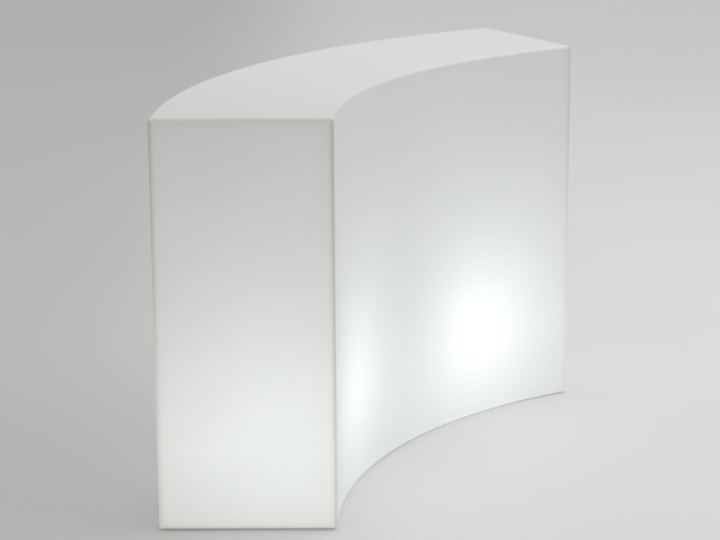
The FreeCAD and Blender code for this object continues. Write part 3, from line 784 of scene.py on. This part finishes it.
nylon_natural, _ = moulded_finish(
    "natural_nylon", (0.66, 0.64, 0.57), (0.60, 0.58, 0.50), 0.50, 0.0006, 0.01, 0.00004
)
cable_skin, _ = moulded_finish(
    "pale_cable_sheath", (0.64, 0.64, 0.62), (0.58, 0.58, 0.56), 0.55, 0.0005, 0.03, 0.00003
)
clip_plastic, _ = moulded_finish(
    "pale_clip_plastic", (0.60, 0.60, 0.57), (0.55, 0.55, 0.52), 0.48, 0.0006, 0.01, 0.00004
)
for side, (x, _) in lamp_spots.items():
    name = "terminal_strip_" + side
    strip = rounded_block(name, (strip_length, strip_width), plate_top, strip_top, (x, strip_y), 0.0008)
    for way in range(way_count):
        way_x = x + (way + 0.5 - way_count / 2) * way_pitch
        carve(strip, block("way", (way_pitch - barrier, *way_size), (way_x, strip_y, way_level)))
    stands_for(smooth(ease_edges(strip, 0.0003)), "terminal_block_" + side, nylon_natural)
    repaint("lamp_lead_" + side, cable_skin)
repaint("link_cable", cable_skin)
clips = []
for x in (-clip_x, clip_x):
    clip = rounded_block("clip", clip_size, base_level + wall, clip_top, (x, strip_y), 0.0015)
    lying = (0, math.pi / 2, 0)
    carve(clip, bar("groove", clip_bore_radius, clip_cut, (x, strip_y, cable_level), 32, lying))
    carve(clip, block("gate", (clip_cut, 2 * clip_bore_radius, gate_height), (x, strip_y, gate_level)))
    clips.append(smooth(ease_edges(clip, 0.0004)))
stands_for(join("saddle_clips", clips), "cable_clips", clip_plastic)


# Cable gland
# A plastic gland through the left hatch for the mains lead: threaded body, locknut above the plate,
# and below it a cap nut that squeezes a rubber sleeve on the lead.

gland_spot = (-lamp_x, lamp_y - gland_step)
gland_hexagon, gland_radius, gland_base, gland_top = 0.022, 0.008, 0.0400, 0.0700
lead_bore_radius, seat_radius, bore_base, bore_top = 0.0055, 0.0065, 0.030, 0.080
cap_nut_base, cap_nut_top, locknut_top = 0.0370, 0.0490, 0.066
sleeve_base, sleeve_top, sleeve_radius, lead_radius = 0.0380, 0.0470, 0.0064, 0.0040

stem = threaded_bar("gland_thread", gland_radius, thread_pitch, gland_base, gland_top, 32, 0.5)
gland_collar = bolt_head("gland_collar", gland_hexagon, plate_under - bolt_head_height, plate_under)
carve(stem, gland_collar, operation="UNION")
carve(stem, post("gland_bore", lead_bore_radius, bore_base, bore_top, (0, 0)))
carve(stem, post("sleeve_seat", seat_radius, bore_base, sleeve_top, (0, 0)))
nut = bolt_head("cap_nut", gland_hexagon, cap_nut_base, cap_nut_top, True, True)
carve(nut, turned("nose", [
    (0, 0.0330), (0.0080, 0.0330), (0.0092, 0.0338), (0.0095, 0.0350), (0.0095, 0.0372), (0, 0.0372),
]), operation="UNION")
carve(nut, turned("nut_bore", [
    (0, 0.0320), (0.0062, 0.0320), (lead_bore_radius, 0.0340), (lead_bore_radius, sleeve_base),
    (gland_bore_radius, sleeve_base), (gland_bore_radius, 0.0500), (0, 0.0500),
]))
lock = bolt_head("locknut", gland_hexagon, plate_top, locknut_top, False, True)
carve(lock, post("locknut_bore", gland_bore_radius, plate_top - cut_over, locknut_top + cut_over, (0, 0)))
sleeve = turned("sleeve", [
    (0, sleeve_base), (0.0060, sleeve_base), (sleeve_radius, 0.0384), (sleeve_radius, 0.0466),
    (0.0060, sleeve_top), (0, sleeve_top),
])
carve(sleeve, post("sleeve_bore", lead_radius, bore_base, 0.050, (0, 0)))
for piece in (nut, lock, sleeve):
    ease_edges(piece, 0.0002, 50)
gland_plastic, _ = moulded_finish(
    "grey_nylon", (0.135, 0.140, 0.148), (0.110, 0.114, 0.120), 0.45, 0.0007, 0.01, 0.00004
)
seal_rubber, _ = moulded_finish(
    "soft_black_rubber", (0.036, 0.036, 0.037), (0.026, 0.026, 0.027), 0.75, 0.0006, 0.01, 0.00004
)
for piece, name, node, slot, material in (
    (stem, "gland_stem", "gland_body", "gland", gland_plastic),
    (nut, "gland_cap_nut", "gland_nut", "gland", gland_plastic),
    (lock, "gland_ring_nut", "gland_locknut", "gland", gland_plastic),
    (sleeve, "gland_sleeve", "gland_seal", "seal", seal_rubber),
):
    stands_for(copy_to(smooth(piece, 40), name, gland_spot), node, material)
discard(stem, nut, lock, sleeve)


# Studio
# Plain pale floor, even soft light with one large soft lamp on the open side of the curve, and the camera.
# The floor has painted light: paler to the right of the view and further along it, with painted shade
# on the left, and far off it goes over to one plain grey.

right_of_view, along_view = (0.508, -0.862, 0), (0.862, 0.508, 0)
# Floor colours: painted shade on the left, painted light on the right
floor_painted_shade_colour, floor_painted_light_colour = (0.585, 0.583, 0.578, 1), (0.78, 0.78, 0.78, 1)
far_floor, room_light, backdrop = (0.72, 0.72, 0.72, 1), (0.66, 0.66, 0.66, 1), (0.505, 0.505, 0.505, 1)

deselect()
bpy.ops.mesh.primitive_circle_add(vertices=96, radius=60, fill_type="NGON")
floor = settle("studio_floor")
material, tree, shader = new_finish("pale_floor_painted_light", 0.6)
grain, cloud = use_group(tree, moulded_grain, 0.004, 1.5)
place = object_place(tree)
across = vector_calc(tree, "DOT_PRODUCT", place, right_of_view)
along = vector_calc(tree, "DOT_PRODUCT", place, along_view)
# Painted light and shade: darker on the left, paler to the right and further along the view
pale = mix_colours(tree, span(tree, across, -1.2, 0.2, 0.0, 1.0, "SMOOTHSTEP"), floor_painted_shade_colour, floor_painted_light_colour)
pale = scale_by(tree, pale, span(tree, along, 0.0, 5.0, 1.0, 1.10))
farness = span(tree, vector_calc(tree, "LENGTH", place), 10.0, 25.0, 0.0, 1.0, "SMOOTHSTEP")
pale = mix_colours(tree, farness, pale, far_floor)
shade = mix_colours(tree, cloud, (0.97, 0.97, 0.97, 1), (1, 1, 1, 1))
feed(tree, shader, Base_Color=mix_colours(tree, 1.0, pale, shade, "MULTIPLY"))
raise_grain(tree, shader, grain, 0.0001)
floor.data.materials.append(material)

world = bpy.data.worlds.new("studio")
bpy.context.scene.world = world
world.use_nodes = True
tree = world.node_tree
rays = add_node(tree, "LightPath").node.outputs
seen = calc(tree, "MAXIMUM", rays["Is Camera Ray"], rays["Is Glossy Ray"])
seen = calc(tree, "MAXIMUM", seen, rays["Is Transmission Ray"])
surroundings = mix_colours(tree, seen, room_light, backdrop)
tree.links.new(surroundings, tree.nodes["Background"].inputs["Color"])

bpy.ops.object.light_add(type="AREA", location=(1.5, -1.5, 5.0))
soft_lamp = bpy.context.object
soft_lamp.data.size = 5
soft_lamp.data.energy = 90

bpy.ops.object.camera_add(
    location=(-5.48665, -3.22204, 2.11358),
    rotation=(math.radians(75.8781), math.radians(0.3723), math.radians(-59.6085)),
)
camera = bpy.context.object
camera.data.lens = 112.8615
camera.data.sensor_width = 36
bpy.context.scene.camera = camera
bpy.context.scene.view_settings.view_transform = "Standard"
